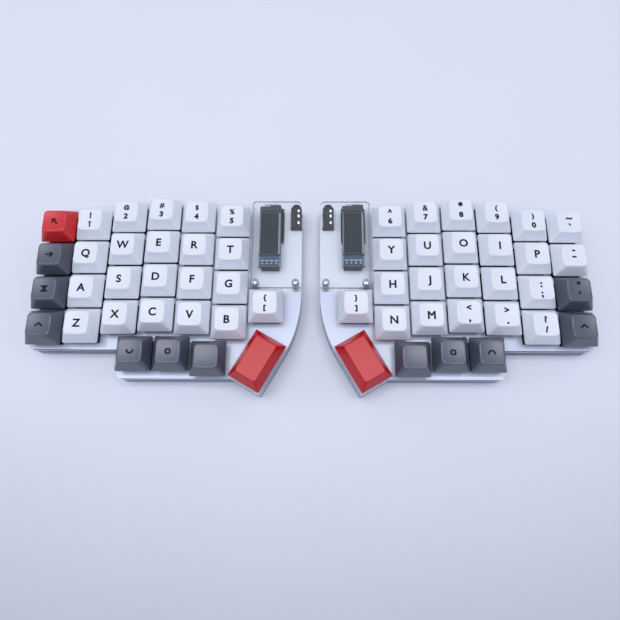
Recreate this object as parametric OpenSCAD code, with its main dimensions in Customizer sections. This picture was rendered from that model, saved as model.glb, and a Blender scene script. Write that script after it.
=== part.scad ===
// Split keyboard of the open stacked kind: two mirrored halves that stand side by side.
// Each half is a bottom plate, a circuit board and a switch plate held apart by spacers, with
// 29 sprung keys and a small display, a controller board and a link jack under a clear cover.
// X runs across both halves, Y away from the user and Z up from the table, all in millimetres.

/* [Keycaps] */
// Distance between the middles of neighbouring keys
key_pitch = 19.05; // [18.9:0.05:19.4]
// Gap between the lower edges of neighbouring keycaps
cap_gap = 0.95; // [0.8:0.05:1.2]
// How much narrower a keycap is at its top than at its lower edge
cap_taper = 6.3; // [5.5:0.1:6.8]
// The same for the flat-topped long thumb keycap
long_cap_taper = 6.6; // [6:0.1:7.4]
// Height of a keycap
cap_h = 7.4; // [7.2:0.1:9]
// Thickness of a keycap's walls
cap_wall = 1.4; // [1.1:0.1:1.5]
// Radius of a keycap's corners at its lower edge
cap_corner = 1; // [0.6:0.1:1.6]
// Radius of the corners round a keycap's top
top_corner = 2.3; // [1.5:0.1:3]
// Width of the bevel round a keycap's top
top_bevel = 0.45; // [0.2:0.05:0.6]
// Depth of the round dish in a keycap's top
dish_depth = 0.8; // [0.4:0.1:0.9]
// Radius of the sphere that makes the dish
dish_r = 36; // [30:1:50]
// Radius of the long thumb keycap's corners at its lower edge
long_corner = 0.4; // [0.2:0.1:1]
// Radius of the corners round its top
long_top_corner = 1.2; // [0.6:0.1:2]
// Length of the long thumb key, in pitches
long_units = 1.5; // [1.25:0.25:1.75]

/* [Layout] */
// Gap between the inner edges of the two halves
half_gap = 10.2; // [4:0.2:40]
// From the inner edge of a half to the middle of its inner key
inner_margin = 18.25; // [17:0.05:24]
// How far the innermost finger column lies in front of the middle one
reach_drop = 3.9; // [2:0.1:6]
// The same for the index finger's column
index_drop = 1.4; // [0:0.1:3]
// The same for the ring finger's column
ring_drop = 1.3; // [0:0.1:3]
// The same for the little finger's column
little_drop = 6.1; // [5:0.1:8]
// The same for the outer column
outer_drop = 7.1; // [6:0.1:8]
// How far the inner key lies in front of the third row of the middle column
inner_step = 14.1; // [12:0.1:17]
// How far the thumb row lies in front of the last row of the middle column
thumb_step = 20.65; // [20.5:0.05:24]
// Extra step of the innermost of the three thumb keys
thumb_stagger = 2.4; // [1.6:0.1:4]
// Turn of the long thumb key, in degrees
long_turn = 30; // [20:1:40]
// Gap between the long thumb key and the next thumb key
long_gap = 1.25; // [1:0.05:3]
// How far the long thumb key's rear corner stays in front of the inner key
long_step = 3.5; // [2.5:0.1:6]

/* [Plates] */
// Thickness of the switch plate and of the bottom plate
plate_t = 1.6; // [1.2:0.1:2]
// Thickness of the circuit board
board_t = 1.6; // [1.2:0.1:1.6]
// How far the plates reach past the keycaps
edge_margin = 1.1; // [0.8:0.1:3]
// The same in front of the outer columns
front_margin = 1.2; // [0.8:0.1:4]
// The same in front of all four thumb keys
thumb_margin = 0.4; // [0.2:0.1:3]
// The same beside the long thumb key
long_margin = 0.1; // [0:0.1:2]
// Radius of the plates' corners
corner_r = 2.5; // [1:0.1:4]
// Radius of the corner at the tip in front of the long thumb key
tip_r = 1; // [0.5:0.1:3]
// Radius of the nook beside the thumb keys
nook_r = 1.2; // [0.5:0.1:3]
// Radius of the curve from the inner edge to the long thumb key
inner_curve_r = 66; // [45:1:80]
// Radius of the rear edge, which falls away towards the outer columns
rear_curve_r = 400; // [350:10:600]
// Web of the switch plate between its open bay and the lips of the switches beside it
bay_web = 2; // [1.5:0.1:2.4]

/* [Switches] */
// Width of the square cut-out that holds a switch
cutout = 14; // [13.9:0.05:14.2]
// Width of the housing's lip on the plate
lip_w = 15.6; // [15:0.1:15.8]
// Thickness of that lip
lip_t = 1; // [0.8:0.1:1.2]
// Height of the housing above the plate
housing_h = 6.6; // [6.2:0.1:7.2]
// Width of the housing's top
housing_top_w = 10.2; // [9.8:0.1:10.4]
// Depth of the housing's top
housing_top_d = 9.6; // [9:0.1:10.4]
// From the plate's top to the circuit board
switch_depth = 5; // [4.8:0.1:6]
// How far the housing's post and pins reach below the top of the circuit board
pin_drop = 3.3; // [3.2:0.1:4]
// Diameter of the housing's centre post
post_d = 4; // [3.8:0.1:4.4]
// Travel of a key
key_travel = 4; // [3:0.1:4.2]
// Side clearance of the sliding stem
stem_play = 0.3; // [0.2:0.05:0.4]
// Width across the stem's cross
cross_w = 4; // [3.8:0.05:4.1]
// Thickness of the cross's arms
cross_t = 1.2; // [1:0.05:1.3]

/* [Fasteners and feet] */
// Diameter of the screws
screw_d = 2; // [1.8:0.1:2.5]
// Diameter of a screw's head
head_d = 3.6; // [3.4:0.1:3.8]
// Height of a screw's head
head_h = 1.3; // [1:0.1:1.5]
// Length of a screw under its head
screw_l = 4.5; // [4:0.1:4.8]
// Diameter of spacers and standoffs
spacer_d = 4; // [3.6:0.1:4.2]
// Diameter of a rubber foot
foot_d = 8; // [6:0.5:10]
// Height of a rubber foot
foot_h = 2; // [1.8:0.1:5]
// From the edges of the bottom plate to the middle of a foot
foot_inset = 8; // [6.5:0.5:12]

/* [Display] */
// Height of the standoffs between the circuit board and the display cover
cover_lift = 10; // [9.6:0.1:14]
// Thickness of the display cover
cover_t = 2; // [1.5:0.1:3]
// From the inner edge of a half to the cover
cover_inset = 0.1; // [0:0.1:1.5]
// From the rear edge of the plates to the cover
cover_rear = 2.2; // [0.5:0.1:4]
// From the cover's edges to the middles of its screws
cover_screw_inset = 2.9; // [2.6:0.1:5]
// Width of the display board
display_w = 12; // [11.6:0.1:12.4]
// Length of the display board
display_l = 36; // [34:0.5:40]
// Thickness of the display board
display_t = 1.2; // [0.8:0.1:1.4]
// Width of the display glass
glass_w = 11.5; // [10:0.1:11.6]
// Length of the display glass
glass_l = 29; // [26:0.5:31]
// Thickness of the display glass
glass_t = 1.4; // [1.1:0.1:1.6]
// Width of the ribbon that folds round the display's rear end
ribbon_w = 6; // [4:0.1:8]
// From the inner edge of a half to the middle of the display
display_x = 17.7; // [16.5:0.1:19]
// Sideways shift of the display, the same way on both halves
display_shift = 0.4; // [0:0.1:1]
// From the cover's rear edge to the ribbon at the display's rear end
display_inset = 0.8; // [0.4:0.1:2]
// Gap between the display's glass and its cover
display_gap = 0.6; // [0.4:0.1:1]

/* [Controller] */
// Width of the controller board
controller_w = 13.6; // [12:0.1:14]
// Length of the controller board
controller_l = 20.5; // [20:0.5:26]
// Thickness of the controller board
controller_t = 1; // [0.8:0.1:1.6]
// From the rear edge of the plates to the controller board
controller_inset = 2.6; // [2:0.1:4]
// Sideways shift of the controller, the same way on both halves
controller_shift = 0.85; // [0:0.05:1.2]
// Width of the data port
port_w = 8.9; // [7.5:0.1:9.2]
// Length of the data port
port_l = 7.3; // [6:0.1:8.5]
// Height of the data port
port_h = 3.2; // [2.6:0.1:3.4]
// How far the data port stands out behind the controller board
port_overhang = 1.4; // [0.5:0.1:1.8]
// Wall of the data port's shell
port_wall = 0.3; // [0.2:0.05:0.4]

/* [Link jack] */
// Width of the jack's body
jack_w = 6; // [5.4:0.1:6.4]
// Length of the jack's body
jack_l = 12.2; // [12:0.1:14]
// Height of the jack's body
jack_h = 5; // [4.8:0.1:6]
// Length of the jack's round nose
nose_l = 2; // [1:0.1:3]
// Bore for the link cable's plug
jack_bore = 3.6; // [3.5:0.05:3.7]
// From the inner edge of a half to the middle of the jack
jack_x = 3.9; // [3.8:0.1:5]
// From the rear edge of the plates to the end of the jack's nose
jack_inset = 0.5; // [0:0.1:1.5]
// Sideways shift of the jack, the same way on both halves
jack_shift = 0.7; // [0:0.1:1]
// Width of the jack's three windows
window_w = 1.2; // [0.8:0.1:1.4]
// Length of these windows
window_l = 1.6; // [1.2:0.1:1.8]

/* [Hidden] */
$fn = 48;
// Smallest gap between pieces that are glued or clipped together
seam = 0.05;
// Room left round screws and round spacers that pass a board
screw_play = 0.2;
spacer_play = 0.6;
// Gap that stays between parts that come close together
clear_gap = 0.3;
// How far a screw beside the thumb keys stands behind the lips of their switches
screw_room = 1;
// Overshoot of a cut past the face that it opens
cut = 1;
// Points on a keycap's rounded corner and on an arc of the outline
corner_steps = 5;
arc_steps = 10;

// Keycap sizes: how far the lower edge hangs below the switch's top, then the stem socket
cap_overlap = 0.4;
cap_room = 0.8;
cap_base = key_pitch - cap_gap;
long_base = long_units * key_pitch - cap_gap;
cap_ceiling = key_travel + cap_overlap + cap_room;
socket_d = 5.5;
socket_rise = 0.3;
socket_depth = 4;
socket_end_gap = 0.2;

// Heights above the table, from the feet upwards
under_room = pin_drop - board_t + clear_gap;
spacer_h = switch_depth + board_t + under_room - plate_t;
bottom_z = foot_h;
plate_z = bottom_z + plate_t + spacer_h;
plate_top = plate_z + plate_t;
board_top = plate_top - switch_depth;
cover_z = board_top + cover_lift;
display_z = cover_z - display_gap - glass_t - seam - display_t;
controller_z = display_z - 2 * clear_gap - port_h - controller_t;

// Heights inside a switch, counted from the top of the switch plate
roof_t = 1;
floor_t = 0.7;
post_floor_t = 0.6;
spring_room = 1.3;
cap_lift = housing_h - cap_overlap;
well_floor = floor_t - switch_depth;
shoulder_top = housing_h - roof_t - clear_gap;
shoulder_bottom = well_floor + key_travel + spring_room;
stem_top = cap_lift + socket_rise - socket_end_gap;
cross_top = stem_top + socket_depth;
post_bottom = -switch_depth - pin_drop;
pole_bottom = post_bottom + post_floor_t + clear_gap + key_travel;

// Sizes across a switch, and the diode under it
lip_step = 0.3;
housing_corner = 1;
housing_top = [housing_top_w, housing_top_d];
stem_size = [6.7, socket_d];
shoulder_w = 8.6;
pole_d = 2;
pin_spots = [[-3.81, 2.54], [2.54, 5.08]];
pin_size = [1.3, 0.3];
pin_hole = 1.7;
diode = [1.6, 2.7, 1.1];
diode_y = -4.8;

// Places of the keys on one half: X from its inner edge, Y from the top of the middle column, turn
columns = 6;
rows = 4;
middle = 3;
column_drop = [reach_drop, index_drop, 0, ring_drop, little_drop, outer_drop];
function finger_spot(c, r) = [inner_margin + c * key_pitch, -r * key_pitch - column_drop[c - 1], 0];
inner_spot = [inner_margin, -2 * key_pitch - inner_step, 0];
thumb_y = finger_spot(middle, rows - 1)[1] - thumb_step;
function thumb_spot(i) = [
    inner_margin + (i + 1.5) * key_pitch,
    thumb_y - (i == 0 ? thumb_stagger : 0),
    0
];
long_reach = [
    (cap_base * cos(long_turn) + long_base * sin(long_turn)) / 2,
    (cap_base * sin(long_turn) + long_base * cos(long_turn)) / 2
];
long_spot = [
    thumb_spot(0)[0] - cap_base / 2 - long_gap - long_reach[0],
    inner_spot[1] - cap_base / 2 - long_step - long_reach[1],
    long_turn
];
spots = concat(
    [for (c = [1:columns], r = [0:rows - 1]) finger_spot(c, r)],
    [for (i = [0:2]) thumb_spot(i)],
    [inner_spot, long_spot]
);

// Outline of one half, anticlockwise from its inner rear corner
function turned(p, a) = [p[0] * cos(a) - p[1] * sin(a), p[0] * sin(a) + p[1] * cos(a)];
function flat(p) = [p[0], p[1]];
function arc(centre, r, from, to) = [
    for (i = [0:arc_steps])
        let (a = from + (to - from) * i / arc_steps)
            centre + r * [cos(a), sin(a)]
];
rear_y = finger_spot(middle, 0)[1] + cap_base / 2 + edge_margin;
front_y = finger_spot(columns, rows - 1)[1] - cap_base / 2 - front_margin;
outer_x = finger_spot(columns, 0)[0] + cap_base / 2 + edge_margin;
thumb_front = thumb_spot(0)[1] - cap_base / 2 - thumb_margin;
thumb_outer = thumb_spot(2)[0] + cap_base / 2 + edge_margin;
tip = flat(long_spot) - turned([cap_base / 2 + long_margin, long_base / 2 + thumb_margin], long_turn);
tip_meet_x = tip[0] + (thumb_front - tip[1]) / tan(long_turn);
inner_curve_y = tip[1] + tip[0] / tan(long_turn) + inner_curve_r * tan(long_turn / 2);
peak_x = finger_spot(middle, 0)[0];
rear_end = acos((outer_x - corner_r - peak_x) / (rear_curve_r - corner_r));
rear_middle = [peak_x, rear_y - rear_curve_r];
rear_corner = rear_middle + (rear_curve_r - corner_r) * [cos(rear_end), sin(rear_end)];
outline = concat(
    arc([corner_r, rear_y - corner_r], corner_r, 90, 180),
    arc([inner_curve_r, inner_curve_y], inner_curve_r, 180, 180 + long_turn),
    arc(tip + turned([tip_r, tip_r], long_turn), tip_r, 180 + long_turn, 270 + long_turn),
    [[tip_meet_x, thumb_front]],
    arc([thumb_outer - corner_r, thumb_front + corner_r], corner_r, 270, 360),
    arc([thumb_outer + nook_r, front_y - nook_r], nook_r, 180, 90),
    arc([outer_x - corner_r, front_y + corner_r], corner_r, 270, 360),
    arc(rear_corner, corner_r, 0, rear_end),
    arc(rear_middle, rear_curve_r, rear_end, 90)
);
mid_y = -(rear_y + min([for (p = outline) p[1]])) / 2;

// Places of spacers, cover screws and feet on one half
function junction(c, r) = (finger_spot(c, r) + finger_spot(c + 1, r + 1)) / 2;
bay_w = finger_spot(1, 0)[0] - lip_w / 2 - bay_web;
bay_front = inner_spot[1] + lip_w / 2 + bay_web;
cover_low = [cover_inset, inner_spot[1] + cap_base / 2 + cap_gap];
cover_high = [finger_spot(1, 0)[0] - cap_base / 2 - cap_gap, rear_y - cover_rear];
spacer_spots = [
    flat(junction(5, 0)),
    flat(junction(5, 2)),
    flat(junction(3, 0)),
    [finger_spot(middle, rows - 1)[0], thumb_y + lip_w / 2 + screw_room],
    flat(long_spot) + turned([0, (lip_w + long_base) / 4], long_turn)
];
cover_spots = [
    for (x = [cover_low[0] + cover_screw_inset, cover_high[0] - cover_screw_inset])
        [x, cover_low[1] + cover_screw_inset]
];
foot_spots = [
    [foot_inset, rear_y - foot_inset],
    [outer_x - foot_inset, rear_corner[1] - foot_inset],
    [outer_x - foot_inset, front_y + foot_inset],
    [thumb_outer - foot_inset, thumb_front + foot_inset],
    tip + turned([foot_inset, foot_inset], long_turn)
];

// Names of the single finger keys of both halves, row by row from the inner column outwards
key_names = [
    [
        ["t", "r", "e", "w", "q", "tab"],
        ["g", "f", "d", "s", "a", "lock"],
        ["b", "v", "c", "x", "z", "shift"]
    ],
    [
        ["y", "u", "o", "i", "p", "dash"],
        ["h", "j", "k", "l", "colon", "quote"],
        ["n", "m", "comma", "period", "slash", "shift"]
    ]
];
function half_name(side) = side < 0 ? "left" : "right";
function finger_name(side, c, r) = str(
    half_name(side), "_key_", key_names[side < 0 ? 0 : 1][r - 1][c - 1]
);
function thumb_name(side, i) = str(half_name(side), "_thumb_key_", i + 1);
function named(side, what) = str(half_name(side), "_", what);
sides = [-1, 1];

cap_white = "#eef0f8";
cap_grey = "#5d6372";
cap_red = "#c02a32";
function finger_colour(side, c, r) =
    c < columns ? cap_white
    : side < 0 ? (r == 0 ? cap_red : cap_grey)
    : (r < 2 ? cap_white : cap_grey);

// Puts what is drawn for a right half on one half, mirrored on the left
module half(side) {
    $side = side;
    translate([side * half_gap / 2, mid_y, 0])
        mirror([side < 0 ? 1 : 0, 0, 0])
            children();
}

module halves() {
    for (side = sides)
        half(side)
            children();
}

// Undoes the mirroring for pieces that are the same on both halves
module unmirrored() {
    mirror([$side < 0 ? 1 : 0, 0, 0])
        children();
}

module at(spot) {
    translate([spot[0], spot[1], 0])
        rotate(spot[2])
            children();
}

module up(z) {
    translate([0, 0, z])
        children();
}

// Ring of points round a rectangle with rounded corners, anticlockwise
function ring(size, r, z, steps) = [
    for (q = [0:3], i = [0:steps - 1])
        let (
            a = 90 * (q + i / (steps - 1)),
            x = (q == 0 || q == 3 ? 1 : -1) * (size[0] / 2 - r),
            y = (q < 2 ? 1 : -1) * (size[1] / 2 - r)
        )
            [x + r * cos(a), y + r * sin(a), z]
];

// Closed solid through a list of rings, from the lowest to the highest
module loft(rings) {
    n = len(rings[0]);
    last = len(rings) - 1;
    floor_face = [for (i = [0:n - 1]) i];
    roof_face = [for (i = [n - 1:-1:0]) last * n + i];
    walls = [
        for (k = [0:last - 1], i = [0:n - 1])
            let (j = (i + 1) % n, low = k * n, high = low + n)
                each [[low + i, high + i, high + j], [low + i, high + j, low + j]]
    ];
    polyhedron([for (r = rings) each r], concat([floor_face], walls, [roof_face]));
}

module slab(size, z) {
    translate([-size[0] / 2, -size[1] / 2, z])
        cube(size);
}

module stadium(w, h) {
    square([w - h, h], center = true);
    for (s = [-1, 1])
        translate([s * (w - h) / 2, 0])
            circle(d = h);
}

// Keycap with its lower edge at zero: bevelled shell, stem socket and, if asked for, the dish
module keycap(size, taper, dished) {
    top = size - [taper, taper];
    bevel = dished ? top_bevel : top_bevel / 2;
    base_corner = dished ? cap_corner : long_corner;
    corner = dished ? top_corner : long_top_corner;
    function shell(z) = size - [1, 1] * (2 * cap_wall + taper * z / cap_h);
    difference() {
        union() {
            difference() {
                loft([
                    ring(size, base_corner, 0, corner_steps),
                    ring(top + [1, 1] * bevel, corner, cap_h - bevel, corner_steps),
                    ring(top - [1, 1] * bevel, corner, cap_h, corner_steps)
                ]);
                loft([
                    ring(shell(-cut), cap_corner, -cut, 2),
                    ring(shell(cap_ceiling), cap_corner, cap_ceiling, 2)
                ]);
            }
            up(socket_rise)
                cylinder(d = socket_d, h = cap_ceiling - socket_rise + seam);
        }
        cross(cross_w + 2 * seam, cross_t + 2 * seam, socket_rise - cut, socket_rise + socket_depth);
        if (dished)
            up(cap_h - dish_depth + dish_r)
                sphere(dish_r, $fn = 96);
    }
}

module cross(w, t, from, to) {
    slab([w, t, to - from], from);
    slab([t, w, to - from], from);
}

// Sliding stem of a switch, counted from the top of the switch plate
module stem() {
    slab([stem_size[0], stem_size[1], stem_top - shoulder_bottom], shoulder_bottom);
    slab([shoulder_w, stem_size[1], shoulder_top - shoulder_bottom], shoulder_bottom);
    cross(cross_w, cross_t, stem_top, cross_top);
    up(pole_bottom)
        cylinder(d = pole_d, h = shoulder_bottom - pole_bottom);
}

module key(side, spot, colour, size, taper, dished) {
    half(side)
        up(plate_top)
            at(spot) {
                color(colour)
                    up(cap_lift)
                        keycap(size, taper, dished);
                color("ivory")
                    stem();
            }
}

module plain_key(side, spot, colour) {
    key(side, spot, colour, [cap_base, cap_base], cap_taper, true);
}

module finger_key(side, c, r) {
    plain_key(side, finger_spot(c, r), finger_colour(side, c, r));
}

module number_keys(side) {
    for (c = [1:columns])
        finger_key(side, c, 0);
}

module bracket_key(side) {
    plain_key(side, inner_spot, cap_white);
}

module thumb_key(side, i) {
    plain_key(side, thumb_spot(i), cap_grey);
}

module long_thumb_key(side) {
    key(side, long_spot, cap_red, [cap_base, long_base], long_cap_taper, false);
}

// Switch housing: lip, tapered top with the stem's opening, base in the plate, post and pins
module switch_housing() {
    body_w = cutout - 2 * seam;
    well = [shoulder_w, stem_size[1], 0] + [2, 2, 0] * stem_play;
    opening = [stem_size[0], stem_size[1], 0] + [2, 2, 0] * stem_play;
    shoulder = [1, 1] * (lip_w - 2 * lip_step);
    difference() {
        union() {
            slab([lip_w, lip_w, lip_t], 0);
            loft([
                ring(shoulder, housing_corner, lip_t, 2),
                ring(housing_top, housing_corner, housing_h, 2)
            ]);
            slab([body_w, body_w, switch_depth], -switch_depth);
            up(post_bottom)
                cylinder(d = post_d, h = pin_drop + seam);
            for (p = pin_spots)
                translate(p)
                    slab([pin_size[0], pin_size[1], pin_drop + seam], post_bottom);
        }
        slab(well + [0, 0, housing_h - roof_t - well_floor], well_floor);
        slab(opening + [0, 0, roof_t + cut + seam], housing_h - roof_t - seam);
        up(post_bottom + post_floor_t)
            cylinder(d = pole_d + 2 * stem_play, h = well_floor - post_bottom);
    }
}

module switch_housings() {
    color("#2a2c32")
        halves()
            up(plate_top)
                for (s = spots)
                    at(s)
                        unmirrored()
                            switch_housing();
}

module screw_holes(places, d) {
    for (p = places)
        translate(p)
            circle(d = d);
}

module switch_plates() {
    color("white")
        halves()
            up(plate_z)
                linear_extrude(plate_t)
                    difference() {
                        polygon(outline);
                        translate([-cut, bay_front])
                            square([bay_w + cut, rear_y - bay_front + cut]);
                        for (s = spots)
                            at(s)
                                square(cutout, center = true);
                        screw_holes(spacer_spots, screw_d + screw_play);
                    }
}

// Circuit board with holes for the switches' posts and pins, and a diode under each switch
module circuit_boards() {
    color("white")
        halves()
            up(board_top - board_t) {
                linear_extrude(board_t)
                    difference() {
                        polygon(outline);
                        for (s = spots)
                            at(s)
                                unmirrored() {
                                    circle(d = post_d + screw_play);
                                    screw_holes(pin_spots, pin_hole);
                                }
                        screw_holes(spacer_spots, spacer_d + spacer_play);
                        screw_holes(cover_spots, screw_d + screw_play);
                    }
                for (s = spots)
                    at(s)
                        translate([0, diode_y, 0])
                            slab(diode + [0, 0, seam], -diode[2]);
            }
}

module bottom_plates() {
    color("white")
        halves()
            up(bottom_z)
                linear_extrude(plate_t)
                    difference() {
                        polygon(outline);
                        screw_holes(spacer_spots, screw_d + screw_play);
                    }
}

module spacer(h) {
    difference() {
        cylinder(d = spacer_d, h = h);
        up(-cut)
            cylinder(d = screw_d + screw_play, h = h + 2 * cut);
    }
}

module spacers() {
    color("goldenrod")
        halves() {
            for (p = spacer_spots)
                translate(p)
                    up(bottom_z + plate_t)
                        spacer(spacer_h);
            for (p = cover_spots)
                translate(p)
                    up(board_top)
                        spacer(cover_lift);
        }
}

// Pan-head screw with its head's underside at zero, pointing down
module screw(l) {
    crown_d = 0.8 * head_d;
    recess_w = 0.6 * head_d;
    recess_t = 0.16 * head_d;
    up(-l)
        cylinder(d = screw_d, h = l + seam);
    difference() {
        cylinder(d1 = head_d, d2 = crown_d, h = head_h);
        cross(recess_w, recess_t, head_h / 2, head_h + cut);
    }
}

module screws() {
    plate_screw_l = min(screw_l, plate_t + spacer_h / 2 - clear_gap);
    color("silver")
        halves() {
            for (p = spacer_spots)
                translate(p) {
                    up(plate_top)
                        screw(plate_screw_l);
                    up(bottom_z)
                        mirror([0, 0, 1])
                            screw(plate_screw_l);
                }
            for (p = cover_spots)
                translate(p) {
                    up(cover_z + cover_t)
                        screw(screw_l);
                    up(board_top - board_t)
                        mirror([0, 0, 1])
                            screw(screw_l);
                }
        }
}

module rubber_feet() {
    draft = 1;
    color("dimgray")
        halves()
            for (p = foot_spots)
                translate(p)
                    cylinder(d1 = foot_d - draft, d2 = foot_d, h = foot_h);
}

module display_covers() {
    r = corner_r;
    color("lightcyan", 0.4)
        halves()
            up(cover_z)
                linear_extrude(cover_t)
                    difference() {
                        polygon(concat(
                            [cover_low, [cover_high[0], cover_low[1]]],
                            arc(cover_high - [r, r], r, 0, 90),
                            arc([cover_low[0] + r, cover_high[1] - r], r, 90, 180)
                        ));
                        screw_holes(cover_spots, screw_d + screw_play);
                    }
}

// Display: glass on a narrow board, ribbon folded round its rear end, socket under its front end
module display_modules() {
    ribbon_t = 0.2;
    ribbon_inset = 0.2;
    ribbon_r = (display_t + glass_t) / 2 - ribbon_inset;
    ribbon_x = (display_w - ribbon_w) / 2 - clear_gap;
    rear = rear_y - cover_rear - display_inset - ribbon_r - seam;
    socket = [10.2, 2.5, display_z - board_top - seam];
    halves()
        translate([display_x, rear, 0])
            unmirrored()
                translate([display_shift, 0, 0]) {
                    color("steelblue")
                        translate([0, -display_l / 2, 0])
                            slab([display_w, display_l, display_t], display_z);
                    color("darkslategray")
                        translate([0, -glass_l / 2, 0])
                            slab([glass_w, glass_l, glass_t], display_z + display_t + seam);
                    color("dimgray")
                        translate([ribbon_x, seam, display_z + ribbon_inset + ribbon_r])
                            folded_ribbon(ribbon_r, ribbon_t);
                    color("black")
                        translate([0, socket[1] / 2 - display_l, 0])
                            slab(socket, board_top);
                }
}

// Half round of ribbon that opens towards the front
module folded_ribbon(r, t) {
    rotate([90, 0, 90])
        translate([0, 0, -ribbon_w / 2])
            linear_extrude(ribbon_w)
                difference() {
                    circle(r);
                    circle(r - t);
                    translate([-2 * r, -r])
                        square(2 * r);
                }
}

// Controller: board on two header strips, with one square chip
module controller_boards() {
    header_w = 2.5;
    header_margin = 2;
    header = [header_w, controller_l - 2 * header_margin, controller_z - board_top + seam];
    chip = [7, 7, 0.9];
    color("black")
        halves()
            translate([display_x, rear_y - controller_inset - controller_l / 2, 0])
                unmirrored()
                    translate([controller_shift, 0, 0]) {
                        slab([controller_w, controller_l, controller_t], controller_z);
                        for (s = [-1, 1])
                            translate([s * (controller_w - header_w) / 2, 0, 0])
                                slab(header, board_top);
                        translate([0, -chip[1] / 2, 0])
                            slab(chip + [0, 0, seam], controller_z + controller_t - seam);
                    }
}

// Data port: rounded shell, closed at the back, with a tongue inside
module data_ports() {
    tongue_margin = 1.15;
    tongue_t = 0.7;
    tongue_back = 1;
    port_y = rear_y - controller_inset + port_overhang;
    tongue = [port_w - 2 * tongue_margin, tongue_t, port_l - tongue_back];
    color("silver")
        halves()
            translate([display_x, port_y, controller_z + controller_t + seam + port_h / 2])
                unmirrored()
                    translate([controller_shift, 0, 0])
                        rotate([90, 0, 0]) {
                            linear_extrude(port_l)
                                difference() {
                                    stadium(port_w, port_h);
                                    stadium(port_w - 2 * port_wall, port_h - 2 * port_wall);
                                }
                            up(port_l - port_wall)
                                linear_extrude(port_wall)
                                    stadium(port_w, port_h);
                            slab(tongue, port_l - tongue[2]);
                        }
}

// Link jack: box with a round nose, the plug's bore and three windows over its contacts
module link_jacks() {
    window_gaps = [4.2, 7.3, 11.4];
    window_inset = 1.7;
    window_depth = 0.4;
    back_wall = 1;
    axis_z = jack_h / 2;
    color("black")
        halves()
            translate([jack_x, rear_y - jack_inset, board_top])
                unmirrored()
                    translate([jack_shift, 0, 0])
                        difference() {
                            union() {
                                translate([0, -nose_l - jack_l / 2, 0])
                                    slab([jack_w, jack_l, jack_h], 0);
                                up(axis_z)
                                    rotate([90, 0, 0])
                                        cylinder(d = jack_h - clear_gap, h = nose_l + cut);
                            }
                            translate([0, cut, axis_z])
                                rotate([90, 0, 0])
                                    cylinder(d = jack_bore, h = nose_l + jack_l - back_wall + cut);
                            for (y = window_gaps)
                                translate([jack_w / 2 - window_inset, -y, jack_h - window_depth])
                                    slab([window_w, window_l, cut], 0);
                        }
}

switch_plates();
circuit_boards();
bottom_plates();
spacers();
screws();
rubber_feet();
switch_housings();
display_covers();
display_modules();
controller_boards();
data_ports();
link_jacks();
for (side = sides) {
    for (r = [1:rows - 1], c = [1:columns])
        finger_key(side, c, r);
    for (i = [0:2])
        thumb_key(side, i);
    number_keys(side);
    bracket_key(side);
    long_thumb_key(side);
}
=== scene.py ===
# Split keyboard in two stacked halves: lettered caps on black switches, turned thumb keys,
# and on each half a small display and a link jack beside the inner edge under a clear cover.
import math
import bmesh
import bpy
from mathutils import Matrix, Vector


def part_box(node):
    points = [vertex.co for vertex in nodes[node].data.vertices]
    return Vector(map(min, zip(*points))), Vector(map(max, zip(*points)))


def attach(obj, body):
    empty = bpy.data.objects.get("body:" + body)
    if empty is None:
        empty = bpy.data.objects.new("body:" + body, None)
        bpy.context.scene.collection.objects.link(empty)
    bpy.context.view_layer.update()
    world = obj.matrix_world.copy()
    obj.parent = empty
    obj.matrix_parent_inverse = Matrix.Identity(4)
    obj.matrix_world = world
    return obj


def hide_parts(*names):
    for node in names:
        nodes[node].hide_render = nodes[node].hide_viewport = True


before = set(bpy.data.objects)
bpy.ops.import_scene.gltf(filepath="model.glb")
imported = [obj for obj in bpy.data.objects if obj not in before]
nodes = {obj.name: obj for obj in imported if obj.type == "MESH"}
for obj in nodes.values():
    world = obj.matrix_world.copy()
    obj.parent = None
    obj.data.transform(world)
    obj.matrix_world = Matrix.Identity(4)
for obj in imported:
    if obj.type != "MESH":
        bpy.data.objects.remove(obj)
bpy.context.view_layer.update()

mm = 0.001  # sizes below are in millimetres, meshes are turned to metres when they are made
scene = bpy.context.scene

# Camera fitted through the tops of the keys, for an image of 620 by 620
photoView = {
    "place": (2.04, -85.26, 277.06),
    "azimuth": 1.749,
    "elevation": 73.881,
    "roll": -1.487,
    "lens": 29.975,  # on a sensor 36 mm wide
}


def placeCamera(view):
    azimuth, elevation, roll = (math.radians(view[k]) for k in ("azimuth", "elevation", "roll"))
    flat = math.cos(elevation)
    back = Vector((math.sin(azimuth) * flat, -math.cos(azimuth) * flat, math.sin(elevation)))
    right = Vector((0, 0, 1)).cross(back).normalized()
    up = back.cross(right)
    turnedRight = math.cos(roll) * right + math.sin(roll) * up
    turnedUp = math.cos(roll) * up - math.sin(roll) * right
    data = bpy.data.cameras.new("photoCamera")
    data.sensor_width = 36
    data.lens = view["lens"]
    data.clip_start = 0.01
    camera = bpy.data.objects.new("photoCamera", data)
    scene.collection.objects.link(camera)
    columns = Matrix((turnedRight, turnedUp, back)).transposed().to_4x4()
    camera.matrix_world = Matrix.Translation(Vector(view["place"]) * mm) @ columns
    scene.camera = camera


placeCamera(photoView)
scene.view_settings.view_transform = "Standard"
print("camera placed")


# Materials: small tools shared by all of them
def hexColour(text):
    channels = [int(text[i:i + 2], 16) / 255 for i in (1, 3, 5)]
    return [c / 12.92 if c <= 0.04045 else ((c + 0.055) / 1.055) ** 2.4 for c in channels] + [1.0]


def perMm(size):  # texture scale for a pattern that repeats every so many millimetres
    return 1 / (size * mm)


def addNode(tree, kind, values={}, links={}, **settings):
    node = tree.nodes.new(kind)
    for name, value in settings.items():
        setattr(node, name, value)
    for name, value in values.items():
        node.inputs[name].default_value = value
    for name, output in links.items():
        tree.links.new(output, node.inputs[name])
    return node


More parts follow.
